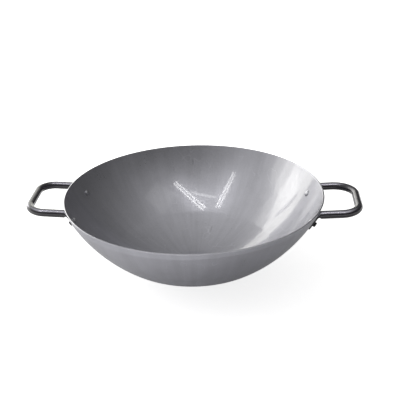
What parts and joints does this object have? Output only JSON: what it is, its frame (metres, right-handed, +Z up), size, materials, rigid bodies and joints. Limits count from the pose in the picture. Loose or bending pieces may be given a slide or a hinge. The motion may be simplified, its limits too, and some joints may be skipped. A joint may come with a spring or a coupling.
{
  "type": "wok",
  "caption": "Round pressed-steel wok with a steeper band ground round the rim, a softly creased bottom with a small flat, and riveted loop handles of bent tube.",
  "frame": {"origin": "middle of the small flat on the bowl's underside, on the surface that the wok rests on", "axes": "+Z up along the bowl's axis; X through the middles of both handles; Y across, front at -Y"},
  "size_m": [0.5118, 0.3992, 0.1285],
  "materials": {
    "bowl_steel": "bare carbon steel sheet, fine radial polish, semi-gloss",
    "handle_steel": "steel tube with a dark, smooth, glossy finish",
    "rivet_steel": "plain steel, hammered ends, semi-gloss"
  },
  "bodies": {
    "root": {"bowl": "bowl_steel", "handle_left": "handle_steel", "handle_right": "handle_steel", "rivet_left_front": "rivet_steel", "rivet_left_rear": "rivet_steel", "rivet_right_front": "rivet_steel", "rivet_right_rear": "rivet_steel"}
  },
  "joints": []
}
